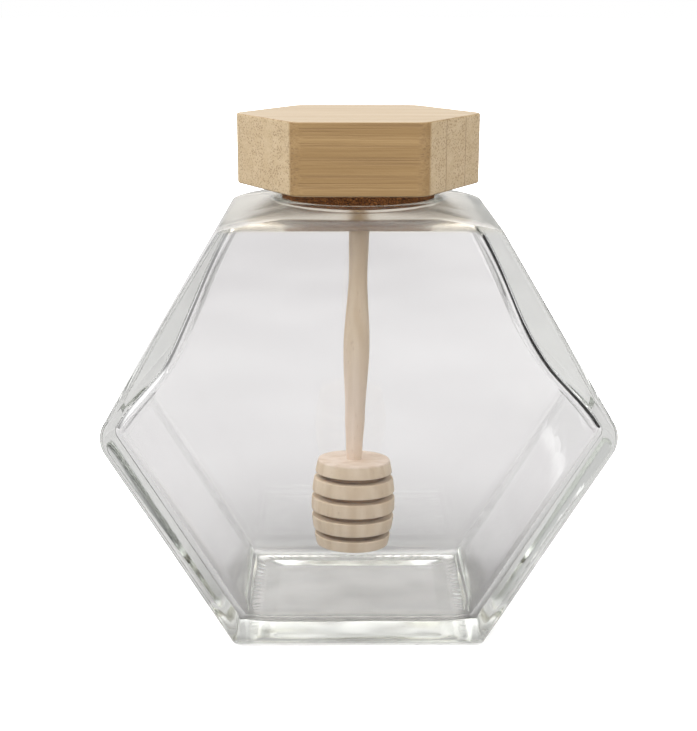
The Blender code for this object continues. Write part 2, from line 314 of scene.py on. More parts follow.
@dataclass(frozen=True)
class ClearGlass:
    """Soda-lime glass from a mould: clear, fire-polished and faintly wavy."""

    tint: Triple = (0.975, 0.97, 0.972)
    streak_tint: Triple = (0.965, 0.962, 0.962)
    depth_colour: Triple = (0.905, 0.911, 0.90)
    depth_density: float = 45.0
    ior: float = 1.5
    wave_scale: float = 55.0
    wave_depth: float = 0.00006
    peel_scale: float = 420.0           # fine orange peel over the waves
    peel_share: float = 0.05
    peel_span: Point2 = (0.55, 0.9)
    peel_roughness: float = 0.02
    neck_tint: Triple = (1.0, 0.94, 0.82)
    neck_span: Point2 = (0.0992, 0.1010)    # the moulded neck is less clear than the panels
    neck_roughness: float = 0.22
    foot_tint: Triple = (0.995, 0.992, 0.985)
    foot_span: Point2 = (0.0115, 0.0050)
    foot_roughness: float = 0.10
    foot_waves: float = 12.0            # how much wavier the foot is between its side facets
    waves_span: Point2 = (0.0290, 0.0265)
    # painted shade: the glass is darkened along the front heel of the foot
    painted_heel_shade_tint: Triple = (0.55, 0.545, 0.53)
    painted_heel_shade_span: Point2 = (-0.0255, -0.0270)

    def material(self) -> bpy.types.Material:
        """Make the glass.

        Returns:
            The material.
        """
        material, graph = new_material("clear_glass")
        place = graph.place()
        slow = graph.noise(place, self.wave_scale, 1.0)
        fine = graph.noise(place, self.peel_scale, 2.0)
        neck = place.axis("Z").step(*self.neck_span)
        foot = place.axis("Z").step(*self.foot_span)
        # Painted shade darkens the front heel of the foot.
        painted_heel_shade = foot * place.axis("Y").step(*self.painted_heel_shade_span)
        wavy = foot * abs(place.axis("X")).step(*self.waves_span)
        colour = graph.mix(slow, self.tint, self.streak_tint)
        for share, tint in ((neck, self.neck_tint), (foot, self.foot_tint),
                            (painted_heel_shade, self.painted_heel_shade_tint)):
            colour = graph.mix(share, colour, tint)
        height = slow * (1.0 + wavy * self.foot_waves) + fine * self.peel_share
        rough = (neck * self.neck_roughness + foot * self.foot_roughness
                 + fine.step(*self.peel_span) * self.peel_roughness)
        close_material(graph, {
            "Base Color": colour,
            "Roughness": rough,
            "IOR": self.ior,
            "Transmission Weight": 1.0,
            "Normal": graph.bump(height, self.wave_depth),
        }, graph.add("ShaderNodeVolumeAbsorption", {}, {
            "Color": self.depth_colour, "Density": self.depth_density}))
        return material


@dataclass(frozen=True)
class LaminatedBamboo:
    """Bamboo strips glued side by side. Their fibres run along X."""

    strip_width: float = 0.0087
    strip_offset: float = -0.0006
    strip_shift: Triple = (0.4, 0.0, 0.2)   # how differently the grain lies in each strip
    pale: Triple = (0.345, 0.222, 0.096)
    golden: Triple = (0.27, 0.165, 0.064)
    # end grain on the slanted facets, also painted paler as light on them
    end_grain_lit_pale: Triple = (0.54, 0.42, 0.264)
    end_grain_lit_golden: Triple = (0.485, 0.366, 0.217)
    # painted sheen: the top face gets paler, greyer copies of the colours for the light on it
    sheen_top_pale: Triple = (0.36, 0.285, 0.190)
    sheen_top_golden: Triple = (0.31, 0.235, 0.145)
    band_scale: Triple = (14.0, 260.0, 420.0)
    band_span: Point2 = (0.3, 0.72)
    tone_share: float = 0.45
    fibre_scale: Triple = (60.0, 3600.0, 3600.0)
    fibre_span: Point2 = (0.62, 0.35)
    fibre_tint: Triple = (0.8, 0.76, 0.7)
    fibre_share: float = 0.55
    vessel: Triple = (0.20, 0.115, 0.045)
    vessel_scale: Triple = (16.0, 1900.0, 1900.0)
    vessel_span: Point2 = (0.50, 0.22)
    vessel_share: float = 0.62
    dense_scale: Triple = (20.0, 300.0, 120.0)
    dense_rise: float = 0.35            # vessels lie denser towards one edge of each strip
    dense_span: Point2 = (0.25, 0.65)
    glue: Triple = (0.20, 0.12, 0.055)
    glue_span: Point2 = (0.478, 0.494)
    glue_share: float = 0.75
    glue_least: float = 0.15            # how dark the glue lines are on the left half
    left_span: Point2 = (-0.01, 0.01)
    end_grain_lit_span: Point2 = (0.70, 0.85)     # how squarely a face is turned to X to show end grain and painted light
    sheen_top_span: Point2 = (0.3, 0.9)
    roughness: Point2 = (0.42, 0.16)
    ior: float = 1.48
    relief: Triple = (0.5, 0.6, 0.00005)    # of the fibres, of the vessels, and its depth

    def material(self) -> bpy.types.Material:
        """Make the bamboo.

        Returns:
            The material.
        """
        material, graph = new_material("laminated_bamboo")
        place = graph.place()
        across = (place.axis("Y") + self.strip_offset) / self.strip_width
        in_strip = across.part()
        tone = graph.add("ShaderNodeTexWhiteNoise", {"noise_dimensions": "1D"},
                         {"W": across.floor()}, "Value")
        shift = graph.add("ShaderNodeCombineXYZ", {}, {
            name: tone * size for name, size in zip("XYZ", self.strip_shift)})
        moved = place + shift

        bands = graph.fibrous(moved, self.band_scale, 2.0)
        fibres = graph.fibrous(moved, self.fibre_scale, 3.0, 0.7)
        bundles = graph.cells(moved * self.vessel_scale, 1.0)
        dense = graph.fibrous(moved, self.dense_scale) + in_strip * self.dense_rise
        vessel = bundles.step(*self.vessel_span) * dense.step(*self.dense_span)
        right = place.axis("X").step(*self.left_span)
        seam = abs(in_strip - 0.5).step(*self.glue_span) * (
            self.glue_least + (1.0 - self.glue_least) * right)

        facing = graph.add("ShaderNodeTexCoord", output="Normal")
        # End grain on the facets turned to X, painted paler also as light on them.
        end = abs(facing.axis("X")).step(*self.end_grain_lit_span)
        # Painted sheen: the top face is paler and greyer.
        top = abs(facing.axis("Z")).step(*self.sheen_top_span)
        pale = graph.mix(top, graph.mix(end, self.pale, self.end_grain_lit_pale), self.sheen_top_pale)
        golden = graph.mix(top, graph.mix(end, self.golden, self.end_grain_lit_golden), self.sheen_top_golden)
        colour = graph.mix(bands.step(*self.band_span), golden, pale)
        for share, tint in (
                (tone * self.tone_share, golden),
                (fibres.step(*self.fibre_span) * self.fibre_share, golden * self.fibre_tint),
                (vessel * self.vessel_share, self.vessel),
                (seam * self.glue_share, self.glue)):
            colour = graph.mix(share, colour, tint)
        height = fibres * self.relief[0] - vessel * self.relief[1] - seam
        close_material(graph, {
            "Base Color": colour,
            "Roughness": self.roughness[0] + fibres * self.roughness[1],
            "IOR": self.ior,
            "Normal": graph.bump(height, self.relief[2]),
        })
        return material


@dataclass(frozen=True)
class PressedCork:
    """Dark agglomerated cork: granules of a few tints with dark gaps between them."""

    light: Triple = (0.41, 0.160, 0.041)
    dark: Triple = (0.245, 0.086, 0.017)
    gap: Triple = (0.07, 0.025, 0.007)
    granule_scale: float = 1700.0
    gap_span: Point2 = (0.09, 0.02)
    crown_span: Point2 = (0.0, 0.2)     # how the granules stand up from the gaps
    warp_scale: float = 900.0
    warp: float = 0.0008
    pore_scale: float = 3200.0
    pore_span: Point2 = (0.6, 0.75)
    pore_share: float = 0.6
    roughness: Point2 = (0.75, 0.15)
    relief: Point2 = (0.4, 0.00012)     # of the pores, and its depth

    def material(self) -> bpy.types.Material:
        """Make the cork.

        Returns:
            The material.
        """
        material, graph = new_material("pressed_cork")
        place = graph.place()
        warp = graph.add("ShaderNodeTexNoise", {},
                         {"Vector": place, "Scale": self.warp_scale}, "Color")
        bent = place + (warp - (0.5, 0.5, 0.5)) * (self.warp, self.warp, self.warp)
        tint = graph.cells(bent, self.granule_scale, Cells.TINT)
        edge = graph.cells(bent, self.granule_scale, Cells.EDGE)
        pores = graph.noise(place, self.pore_scale, 2.0)
        colour = graph.mix(tint.axis("X"), self.dark, self.light)
        colour = graph.mix(pores.step(*self.pore_span) * self.pore_share, colour, self.gap)
        colour = graph.mix(edge.step(*self.gap_span), colour, self.gap)
        height = edge.step(*self.crown_span) + pores * self.relief[0]
        close_material(graph, {
            "Base Color": colour,
            "Roughness": self.roughness[0] + pores * self.roughness[1],
            "Normal": graph.bump(height, self.relief[1]),
        })
        return material


@dataclass(frozen=True)
class TurnedBeech:
    """Bare beech turned on a lathe. Its fibres run along Z."""

    pale: Triple = (0.825, 0.68, 0.51)
    warm: Triple = (0.71, 0.55, 0.375)
    ring_scale: Triple = (260.0, 420.0, 14.0)
    ring_span: Point2 = (0.35, 0.7)
    fibre_scale: Triple = (2600.0, 2600.0, 120.0)
    fibre_span: Point2 = (0.55, 0.3)
    fibre_share: float = 0.25
    fleck: Triple = (0.53, 0.37, 0.23)
    fleck_scale: Triple = (900.0, 1500.0, 300.0)
    fleck_span: Point2 = (0.2, 0.08)
    fleck_share: float = 0.4
    lathe_scale: Triple = (3.0, 3.0, 3000.0)
    pink_and_painted_light: Triple = (1.12, 1.15, 1.30)  # the lower stem and the head's top are pinker, and paler as painted light
    pink_light_span: Point2 = (-0.030, -0.055)
    pink_light_fade: float = 0.0005
    # painted shade in the lathe's grooves
    groove_shade: Triple = (0.47, 0.33, 0.19)
    groove_shade_depth: float = 0.0014        # from bare wood to full painted shade
    groove_shade_fade: float = 0.0002
    roughness: Point2 = (0.5, 0.2)
    relief: Triple = (0.5, 0.3, 0.00005)    # of fibres and lathe marks, of flecks, its depth

    def material(self, top: Vector, axis: Vector, head: Point2,
                 groove_radius: float) -> bpy.types.Material:
        """Return the beech material, with painted shade in the grooves that the lathe tool cut.

        Args:
            top: Middle of the turned piece's top end.
            axis: Direction up the turned piece.
            head: How far below the top the grooved part starts and ends.
            groove_radius: Distance from the axis that every groove's floor lies within.

        Returns:
            The material.
        """
        material, graph = new_material("turned_beech")
        place = graph.place()
        reach = place - tuple(top)
        height = reach.along(axis)
        length = reach.length()
        radius = (length * length - height * height) ** 0.5
        head_top, head_foot = -head[0], -head[1]
        in_head = (height.step(head_foot, head_foot + self.groove_shade_fade)
                   * height.step(head_top, head_top - self.groove_shade_fade))
        # Painted shade darkens the grooves.
        groove_shaded = in_head * radius.step(groove_radius + self.groove_shade_depth, groove_radius)
        # Painted light makes the lower stem and the head's top paler; they are pinker too.
        above = height.step(head_top + self.pink_light_fade, head_top)
        pink_light_share = height.step(*self.pink_light_span) * (1.0 - above)

        fibres = graph.fibrous(place, self.fibre_scale, 3.0, 0.6)
        fleck = graph.cells(place * self.fleck_scale, 1.0).step(*self.fleck_span)
        lathe = graph.fibrous(place, self.lathe_scale)
        rings = graph.fibrous(place, self.ring_scale, 2.0)
        colour = graph.mix(rings.step(*self.ring_span), self.pale, self.warm)
        colour = graph.mix(fibres.step(*self.fibre_span) * self.fibre_share, colour, self.warm)
        colour = graph.mix(fleck * self.fleck_share, colour, self.fleck)
        colour = graph.mix(pink_light_share, colour, colour * self.pink_and_painted_light)
        colour = graph.mix(groove_shaded, colour, colour * self.groove_shade)
        relief = (fibres + lathe) * self.relief[0] - fleck * self.relief[1]
        close_material(graph, {
            "Base Color": colour,
            "Roughness": self.roughness[0] + fibres * self.roughness[1],
            "Normal": graph.bump(relief, self.relief[2]),
        })
        return material


@dataclass(frozen=True)
class StudioPaper:
    """Matt paper on the studio table, burnt out to white where nothing covers it."""

    white: Triple = (1.3, 1.3, 1.3)     # over 1, so that it burns out in the shade too
    # painted light: the paper under the jar is much paler than around it
    painted_light_under_jar: Triple = (0.95, 0.95, 0.94)
    painted_light_under_span: Point2 = (0.03, 0.024)
    # painted shade: a little darker under the jar's front rim
    painted_rim_shade: Triple = (0.85, 0.845, 0.835)
    painted_rim_shade_span: Point2 = (-0.015, -0.0275)
    # Behind the jar the paper is graded: darker near it as painted shadow of the jar, and darker far back
    # as painted shade.
    near: Triple = (0.325, 0.322, 0.320)
    middle: Triple = (0.386, 0.381, 0.383)
    middle_span: Point2 = (0.0, 0.10)   # metres behind the jar
    far: Triple = (0.340, 0.334, 0.336)
    far_span: Point2 = (0.20, 0.50)
    cloud_scale: float = 11.0
    cloud_span: Point2 = (0.35, 0.65)
    cloud_share: float = 0.22
    cloud_tint: Triple = (1.28, 1.28, 1.28)
    lit: Triple = (0.62, 0.62, 0.62)
    lit_span: Point2 = (-0.70, -1.60)   # painted light: the paper is bright far out to the left and a little brighter towards the right
    painted_light_rise_span: Point2 = (0.01, 0.10)    # and a little brighter towards the right
    painted_light_rise_behind: Point2 = (0.15, 0.24)
    rise: float = 0.12
    mottle_scale: float = 40.0
    mottle_share: float = 0.03
    mottle_depth: float = 0.00002
    roughness: float = 0.9

    def material(self) -> bpy.types.Material:
        """Make the paper.

        Returns:
            The material.
        """
        material, graph = new_material("studio_paper")
        place = graph.place()
        aside, behind = place.axis("X"), place.axis("Y")
        mottle = graph.noise(place, self.mottle_scale, 3.0)
        clouds = graph.noise(place, self.cloud_scale, 1.5).step(*self.cloud_span)
        # Painted light: the paper is brighter towards the right far behind the jar, and far out to the
        # left.
        rise = aside.step(*self.painted_light_rise_span) * self.rise * behind.step(*self.painted_light_rise_behind)
        # Painted shadow near the jar and painted shade far behind it.
        shade = graph.mix(behind.step(*self.middle_span), self.near, self.middle)
        shade = graph.mix(behind.step(*self.far_span), shade, self.far)
        shade = graph.mix(clouds * self.cloud_share, shade, shade * self.cloud_tint)
        shade = graph.mix(rise, shade, self.lit)
        shade = graph.mix(aside.step(*self.lit_span), shade, self.lit)
        # Painted light under the jar, a little less under its front rim as painted shade.
        below = graph.mix(behind.step(*self.painted_rim_shade_span), self.painted_light_under_jar, self.painted_rim_shade)
        painted_light_under_jar = abs(aside).at_least(abs(behind)).step(*self.painted_light_under_span)
        shade = graph.mix(painted_light_under_jar, shade, below)
        shade = graph.mix(mottle * self.mottle_share, shade, self.far)
        direct = graph.add("ShaderNodeLightPath", output="Is Camera Ray")
        close_material(graph, {
            "Base Color": graph.mix(direct, shade, self.white),
            "Roughness": self.roughness,
            "Specular IOR Level": 0.0,
            "Normal": graph.bump(mottle, self.mottle_depth),
        })
        return material


# --- Mesh helpers ---


def fillet(before: Point2, corner: Point2, after: Point2, radius: float,
           divisions: int) -> list[Point2]:
    """Round a corner of a flat outline.

    Args:
        before: A point on the side that leads to the corner.
        corner: The sharp corner.
        after: A point on the side that leaves it.
        radius: The rounding.
        divisions: Number of steps round it.

    Returns:
        Points from the first side to the second.
    """
    tip = Vector(corner)
    to_before = (Vector(before) - tip).normalized()
    to_after = (Vector(after) - tip).normalized()
    half_angle = to_before.angle(to_after) / 2
    centre = tip + (to_before + to_after).normalized() * radius / math.sin(half_angle)
    start = tip + to_before * radius / math.tan(half_angle) - centre
    end = tip + to_after * radius / math.tan(half_angle) - centre
    turn = math.pi - 2 * half_angle
    points = []
    for number in range(divisions + 1):
        share = number / divisions
        arm = start * math.sin((1 - share) * turn) + end * math.sin(share * turn)
        points.append(tuple(centre + arm / math.sin(turn)))
    return points


def stations_between(low: float, high: float, divisions: int) -> list[float]:
    """Return the values strictly between two ends, evenly spaced."""
    return [low + (high - low) * number / divisions for number in range(1, divisions)]


def quarter_turns(divisions: int) -> list[float]:
    """Return the angles of a quarter turn in even steps, with both ends."""
    return [math.pi / 2 * number / divisions for number in range(divisions + 1)]


def loft(name: str, rings: Sequence[Sequence[Vector]], first: Optional[Vector],
         last: Optional[Vector]) -> bpy.types.Mesh:
    """Join rings of points into a closed mesh.

    Args:
        name: The mesh's name.
        rings: Rings of equally many points.
        first: The middle point of the first ring's end.
        last: The middle point of the last ring's end.

    Returns:
        The mesh, with its faces turned outwards.
    """
    mesh = bmesh.new()
    rows = [[mesh.verts.new(point) for point in points] for points in rings]
    count = len(rows[0])
    for lower, upper in zip(rows, rows[1:]):
        for index in range(count):
            after = (index + 1) % count
            mesh.faces.new((lower[index], lower[after], upper[after], upper[index]))
    for middle, row in ((first, rows[0]), (last, rows[-1])):
        pole = mesh.verts.new(middle)
        for index in range(count):
            mesh.faces.new((pole, row[index], row[(index + 1) % count]))
    bmesh.ops.recalc_face_normals(mesh, faces=mesh.faces)
    data = bpy.data.meshes.new(name)
    mesh.to_mesh(data)
    mesh.free()
    data.shade_smooth()
    return data


def turned(name: str, profile: Sequence[Point2], steps: int) -> bpy.types.Mesh:
    """Turn an outline about Z.

    Args:
        name: The mesh's name.
        profile: (radius, height) points. The first and last lie on the axis.
        steps: Number of steps round the axis.

    Returns:
        The mesh.
    """
    rings = []
    for radius, height in profile[1:-1]:
        ring = []
        for number in range(steps):
            angle = math.tau * number / steps
            ring.append(Vector((radius * math.cos(angle), radius * math.sin(angle), height)))
        rings.append(ring)
    return loft(name, rings, Vector((0, 0, profile[0][1])), Vector((0, 0, profile[-1][1])))


def publish(name: str, data: bpy.types.Mesh, material: bpy.types.Material, node: str) -> bpy.types.Object:
    """Put a finished piece in the scene in place of its plain solid.

    Args:
        name: The piece's name.
        data: Its mesh.
        material: Its finish.
        node: The solid that it stands for.

    Returns:
        The piece.
    """
    piece = bpy.data.objects.new(name, data)
    data.materials.append(material)
    bpy.context.scene.collection.objects.link(piece)
    weighting = piece.modifiers.new("Even shading", "WEIGHTED_NORMAL")
    weighting.keep_sharp = True
    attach(piece, BODY)
    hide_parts(node)
    return piece


# --- Sub-assemblies ---


@dataclass(frozen=True)
class Bow:
    """How an inner facet of the glass bulges into the jar."""

    height: float
    middle_z: float
    reach_up: float
    reach_down: float

    def at(self, z: float) -> float:
        """Return how far the facet bulges in at a height.

        Args:
            z: The height.

        Returns:
            The bulge.
        """
        reach = self.reach_up if z > self.middle_z else self.reach_down
        share = min(abs(z - self.middle_z) / reach, 1.0)
        return self.height * (1 + math.cos(math.pi * share)) / 2


@dataclass(frozen=True)
class Drift:
    """How the upper part of the cavity lies off the middle."""

    offset: float
    from_z: float
    to_z: float

    def at(self, z: float) -> float:
        """Return how far off the middle the cavity lies at a height."""
        share = min(max((z - self.from_z) / (self.to_z - self.from_z), 0.0), 1.0)
        return self.offset * share * share * (3 - 2 * share)


@dataclass(frozen=True)
class Level:
    """One ring of the glass: a rounded rectangle that may have turned into a circle."""

    side: Point2                        # half width and height at the sides
    front: Point2                       # half depth and height at the front and back
    edge: float                         # rounding of its front corners
    back_edge: Optional[float] = None   # and of its back corners, if not the same
    roundness: float = 0.0              # 0 for a rounded rectangle, 1 for a circle
    circle: Point2 = (0.0, 0.0)         # radius and height of that circle
    offset: float = 0.0                 # how far off the middle it lies
    edge_stretch: float = 1.155         # the corner's rounding is this much wider than deep
    panel_steps: int = 40               # along half a panel
    edge_steps: int = 12                # round one vertical edge
    side_steps: int = 34                # along half a side

    def quarter(self, edge: float) -> list[Vector]:
        """Lay out a quarter of the ring, from the panel's middle to the side's.

        Args:
            edge: The rounding of its corner.

        Returns:
            Its points, with both ends.
        """
        half_width, side_z = self.side
        half_depth, front_z = self.front
        edge_x = edge * self.edge_stretch
        quarter = []
        for number in range(self.panel_steps):
            share = number / self.panel_steps
            quarter.append((share * (half_width - edge_x), half_depth, front_z))
        for number in range(self.edge_steps + 1):
            angle = math.pi / 2 * number / self.edge_steps
            quarter.append((half_width - edge_x + edge_x * math.sin(angle),
                            half_depth - edge + edge * math.cos(angle),
                            front_z + (side_z - front_z) * math.sin(angle) ** 2))
        for number in range(1, self.side_steps + 1):
            share = number / self.side_steps
            quarter.append((half_width, (1 - share) * (half_depth - edge), side_z))

        radius, circle_z = self.circle
        rounded = []
        for number, point in enumerate(quarter):
            angle = math.pi / 2 * number / (len(quarter) - 1)
            on_circle = Vector((radius * math.sin(angle), radius * math.cos(angle), circle_z))
            rounded.append(Vector(point).lerp(on_circle, self.roundness))
        return rounded

    def points(self) -> list[Vector]:
        """Lay out the whole ring from its quarters.

        Returns:
            The ring's points.
        """
        near = self.quarter(self.edge)
        far = self.quarter(self.edge if self.back_edge is None else self.back_edge)
        offset = Vector((self.offset, 0, 0))
        points = []
        for sign_x, sign_y, run in ((1, 1, far), (1, -1, near[::-1]), (-1, -1, near),
                                    (-1, 1, far[::-1])):
            points += [Vector((p.x * sign_x, p.y * sign_y, p.z)) + offset for p in run[:-1]]
        return points


@dataclass
class GlassBody:
    """The moulded glass body: a hexagon in front view with a thick base and a round mouth."""

    depth: float = 0.055
    corner_x: float = 0.0605            # sharp side corner, from the middle
    corner_z: float = 0.0520
    base_x: float = 0.0292
    corner_radius: float = 0.0070
    edge_radius: float = 0.0016
    heel_side: float = 0.0025
    heel_front: float = 0.0038
    band_width: float = 0.0045
    push_up: float = 0.0004
    slope_width: float = 0.003
    band_soft: float = 0.0004           # rounding of the band's and the push-up's inner rims
    knurl_depth: float = 0.0001
    knurl_width: float = 0.0026
    knurl_points: int = 4

    shoulder_side_z: float = 0.1009
    shoulder_front_z: float = 0.1022
    shoulder_radius_side: float = 0.0035
    shoulder_radius_front: float = 0.0025
    shoulder_corner: float = 0.012
    lip_radius: float = 0.0204
    lip_foot_z: float = 0.104
    lip_top_z: float = 0.1045
    lip_rounding: float = 0.00048
    bore_radius: float = 0.0183
    bore_foot_z: float = 0.1014
    bore_flare: float = 0.002

    panel_wall: float = 0.004
    side_wall: float = 0.0027
    foot_wall: float = 0.0039
    floor_z: float = 0.0045
    floor_radius_side: float = 0.0025
    floor_radius_front: float = 0.0045
    cavity_edge: float = 0.0030
    cavity_back_edge: float = 0.0008
    floor_corner: float = 0.0035        # what the cavity's corners gain in rounding at the floor
    cavity_corner: float = 0.0025
    ceiling_side_z: float = 0.0992
    ceiling_front_z: float = 0.1001
    ceiling_radius_side: float = 0.0015
    ceiling_radius_front: float = 0.0012
    bow: Bow = Bow(0.0032, 0.070, 0.030, 0.0155)
    drift: Drift = Drift(-0.0011, 0.060, 0.080)

    arc_steps: int = 8
    facet_steps: int = 20
    shoulder_steps: int = 12
    lip_steps: int = 4
    end_share: float = 0.8              # rounding left to the vertical edges at their ends
    pit_shares: tuple[float, ...] = (0.5, 0.75, 0.9)        # rings of the push-up's middle
    pit_rounding: float = 0.5
    knurl_rows: tuple[float, ...] = (0.4, 0.2, 0.0, -0.2, -0.4)
    floor_shares: tuple[float, ...] = (0.9, 0.7, 0.4)       # rings of the floor's middle
    finish: ClearGlass = field(default_factory=ClearGlass)

    def facet_x(self, height: float) -> float:
        """Return the half width of the sharp outer hexagon at a height."""
        rise = abs(height - self.corner_z) / self.corner_z
        return self.corner_x - (self.corner_x - self.base_x) * rise

    def cavity_x(self, height: float) -> float:
        """Return the half width of the sharp inner hexagon, without its bow.

        Args:
            height: The height to read it at.

        Returns:
            The half width.
        """
        slope = (self.corner_x - self.base_x) / self.corner_z
        stretch = math.hypot(1.0, slope)
        rise = slope * (height - self.corner_z)
        return self.corner_x - max(rise + self.side_wall * stretch,
                                   self.foot_wall * stretch - rise)

    def cavity_corner_z(self) -> float:
        """Return the height where the two inner facets meet."""
        slope = (self.corner_x - self.base_x) / self.corner_z
        return self.corner_z + (self.foot_wall - self.side_wall) * math.hypot(1.0, slope) / slope / 2

    def ring(self, side: Point2, front: Point2, edge: float, roundness: float = 0.0,
             circle: Point2 = (0.0, 0.0)) -> list[Vector]:
        """Return one ring of the outside. Level tells what it takes."""
        return Level(side, front, edge, roundness=roundness, circle=circle).points()

    def cavity_ring(self, side: Point2, front: Point2, edge: float, roundness: float = 0.0,
                    circle: Point2 = (0.0, 0.0), growth: float = 0.0) -> list[Vector]:
        """Lay out one ring of the cavity, moved with the cavity's drift.

        Args:
            side: Half width and height at the sides.
            front: Half depth and height at the front and back.
            edge: Rounding of its front corners.
            roundness: 0 for a rounded rectangle, 1 for a circle.
            circle: Radius and height of that circle.
            growth: What all its corners gain in rounding.

        Returns:
            The ring's points.
        """
        back_edge = edge * self.cavity_back_edge / self.cavity_edge + growth
        return Level(side, front, edge + growth, back_edge, roundness, circle,
                     self.drift.at(side[1]) * (1 - roundness)).points()

    def circle_ring(self, radius: float, height: float) -> list[Vector]:
        """Return one round ring of the mouth."""
        flat = (radius, height)
        return self.ring(flat, flat, radius * 0.5, 1.0, flat)

    def eased(self, edge: float, number: int) -> float:
        """Return a vertical edge's rounding at a step from its end, where it is smaller."""
        return edge * (self.end_share + (1 - self.end_share) * number / self.arc_steps)

    def knurled(self, points: list[Vector]) -> list[Vector]:
        """Raise the small ribs of the bearing band on a ring.

        Args:
            points: The ring's points, which are moved.

        Returns:
            The same points.
        """
        for number, point in enumerate(points):
            share = (number % self.knurl_points) / self.knurl_points
            point.z += self.knurl_depth * (1 - math.cos(math.tau * share)) / 2
        return points

    def underside(self) -> list[list[Vector]]:
        """Lay out the push-up and the knurled bearing band.

        Returns:
            Rings from the middle outwards.
        """
        heel_x = fillet((0, 0), (self.base_x, 0), (self.corner_x, self.corner_z),
                        self.heel_side, self.arc_steps)[0][0]
        heel_y = self.depth / 2 - self.heel_front

        def flat(inset: float, height: float, rounding: float) -> list[Vector]:
            """Return a level ring that lies inside the heel."""
            return self.ring((heel_x - inset, height), (heel_y - inset, height),
                             self.edge_radius * rounding)

        band, soft, push_up = self.band_width, self.band_soft, self.push_up
        inner = band + self.slope_width
        rings = []
        for share in self.pit_shares:
            rings.append(self.ring((share * (heel_x - inner), push_up),
                                   (share * (heel_y - inner), push_up),
                                   self.edge_radius * self.pit_rounding))
        # The slope's two soft rims and the band. The corners get sharper towards the middle.
        rings += [flat(inner + soft, push_up, 0.6), flat(inner, push_up * 0.9, 0.6),
                  flat(band, push_up * 0.1, 0.7), flat(band - soft, 0.0, 0.7),
                  flat((band + self.knurl_width) / 2, 0.0, 0.75)]
        for offset in self.knurl_rows:
            rings.append(self.knurled(flat(band / 2 + self.knurl_width * offset, 0.0, 0.77)))
        rings.append(flat((band - self.knurl_width) / 2, 0.0, 0.79))
        return rings

    def outer_rings(self) -> list[list[Vector]]:
        """Lay out the outer walls, from the heel to the foot of the lip.

        Returns:
            Rings from the bottom to the top.
        """
        half_depth = self.depth / 2
        steps = self.arc_steps
        side_corner = (self.corner_x, self.corner_z)
        side_heel = fillet((0, 0), (self.base_x, 0), side_corner, self.heel_side, steps)
        front_heel = fillet((0, 0), (half_depth, 0), (half_depth, self.corner_z),
                            self.heel_front, steps)
        edge = self.edge_radius
        rings = []
        for number, (side, front) in enumerate(zip(side_heel, front_heel)):
            rings.append(self.ring(side, front, self.eased(edge, number)))
        side_shoulder = (self.facet_x(self.shoulder_side_z), self.shoulder_side_z)
        corner_arc = fillet((self.base_x, 0), side_corner, side_shoulder, self.corner_radius,
                            steps)
        lip_foot = (self.lip_radius, self.lip_foot_z)
        side_top = fillet(side_corner, side_shoulder, lip_foot, self.shoulder_radius_side, steps)
        front_top = fillet((half_depth, self.corner_z), (half_depth, self.shoulder_front_z),
                           lip_foot, self.shoulder_radius_front, steps)
        # The heel's and the shoulder's side and front stations end at different heights.
        lower = self.passage(side_heel[-1], front_heel[-1], corner_arc[0], half_depth)
        upper = self.passage(corner_arc[-1], (half_depth, corner_arc[-1][1]), side_top[0],
                             front_top[0][0], front_top[0][1])
        rings += [self.ring(side, front, edge) for side, front in lower]
        rings += [self.ring((x, z), (half_depth, z), edge) for x, z in corner_arc]
        rings += [self.ring(side, front, edge) for side, front in upper]
        for number, (side, front) in enumerate(zip(side_top, front_top)):
            growth = (self.shoulder_corner - edge) * number / steps
            rings.append(self.ring(side, front, edge + growth))
        for number in range(1, self.shoulder_steps):
            share = number / self.shoulder_steps
            rings.append(self.ring(side_top[-1], front_top[-1], self.shoulder_corner, share,
                                   lip_foot))
        return rings

    def passage(self, side_from: Point2, front_from: Point2, side_to: Point2, front_x: float,
                front_z: Optional[float] = None) -> list[tuple[Point2, Point2]]:
        """Return straight stations up a facet and its panel.

        Args:
            side_from: Half width and height where the facet starts.
            front_from: Half depth and height where the panel starts.
            side_to: Half width and height where the facet ends.
            front_x: Half depth where the panel ends.
            front_z: Height where the panel ends, if not the facet's.

        Returns:
            Pairs of side and front stations, without their ends.
        """
        front_to = (front_x, side_to[1] if front_z is None else front_z)
        pairs = []
        for share in stations_between(0.0, 1.0, self.facet_steps):
            side = Vector(side_from).lerp(Vector(side_to), share)
            front = Vector(front_from).lerp(Vector(front_to), share)
            pairs.append((tuple(side), tuple(front)))
        return pairs

    def mouth_rings(self) -> list[list[Vector]]:
        """Lay out the lip and the bore.

        Returns:
            Rings from the lip's foot over its top and down the bore.
        """
        top = self.lip_top_z
        outer = fillet((self.lip_radius, 0), (self.lip_radius, top), (0, top),
                       self.lip_rounding, self.lip_steps)
        inner = fillet((self.lip_radius, top), (self.bore_radius, top), (self.bore_radius, 0),
                       self.lip_rounding, self.lip_steps)
        stations = [(self.lip_radius, self.lip_foot_z), *outer, *inner]
        flare = fillet((self.bore_radius, top), (self.bore_radius, self.bore_foot_z),
                       (self.depth, self.bore_foot_z), self.bore_flare, self.arc_steps)
        drop = stations_between(inner[-1][1], flare[0][1], self.lip_steps)
        stations += [(self.bore_radius, height) for height in drop]
        stations += flare
        return [self.circle_ring(radius, height) for radius, height in stations]

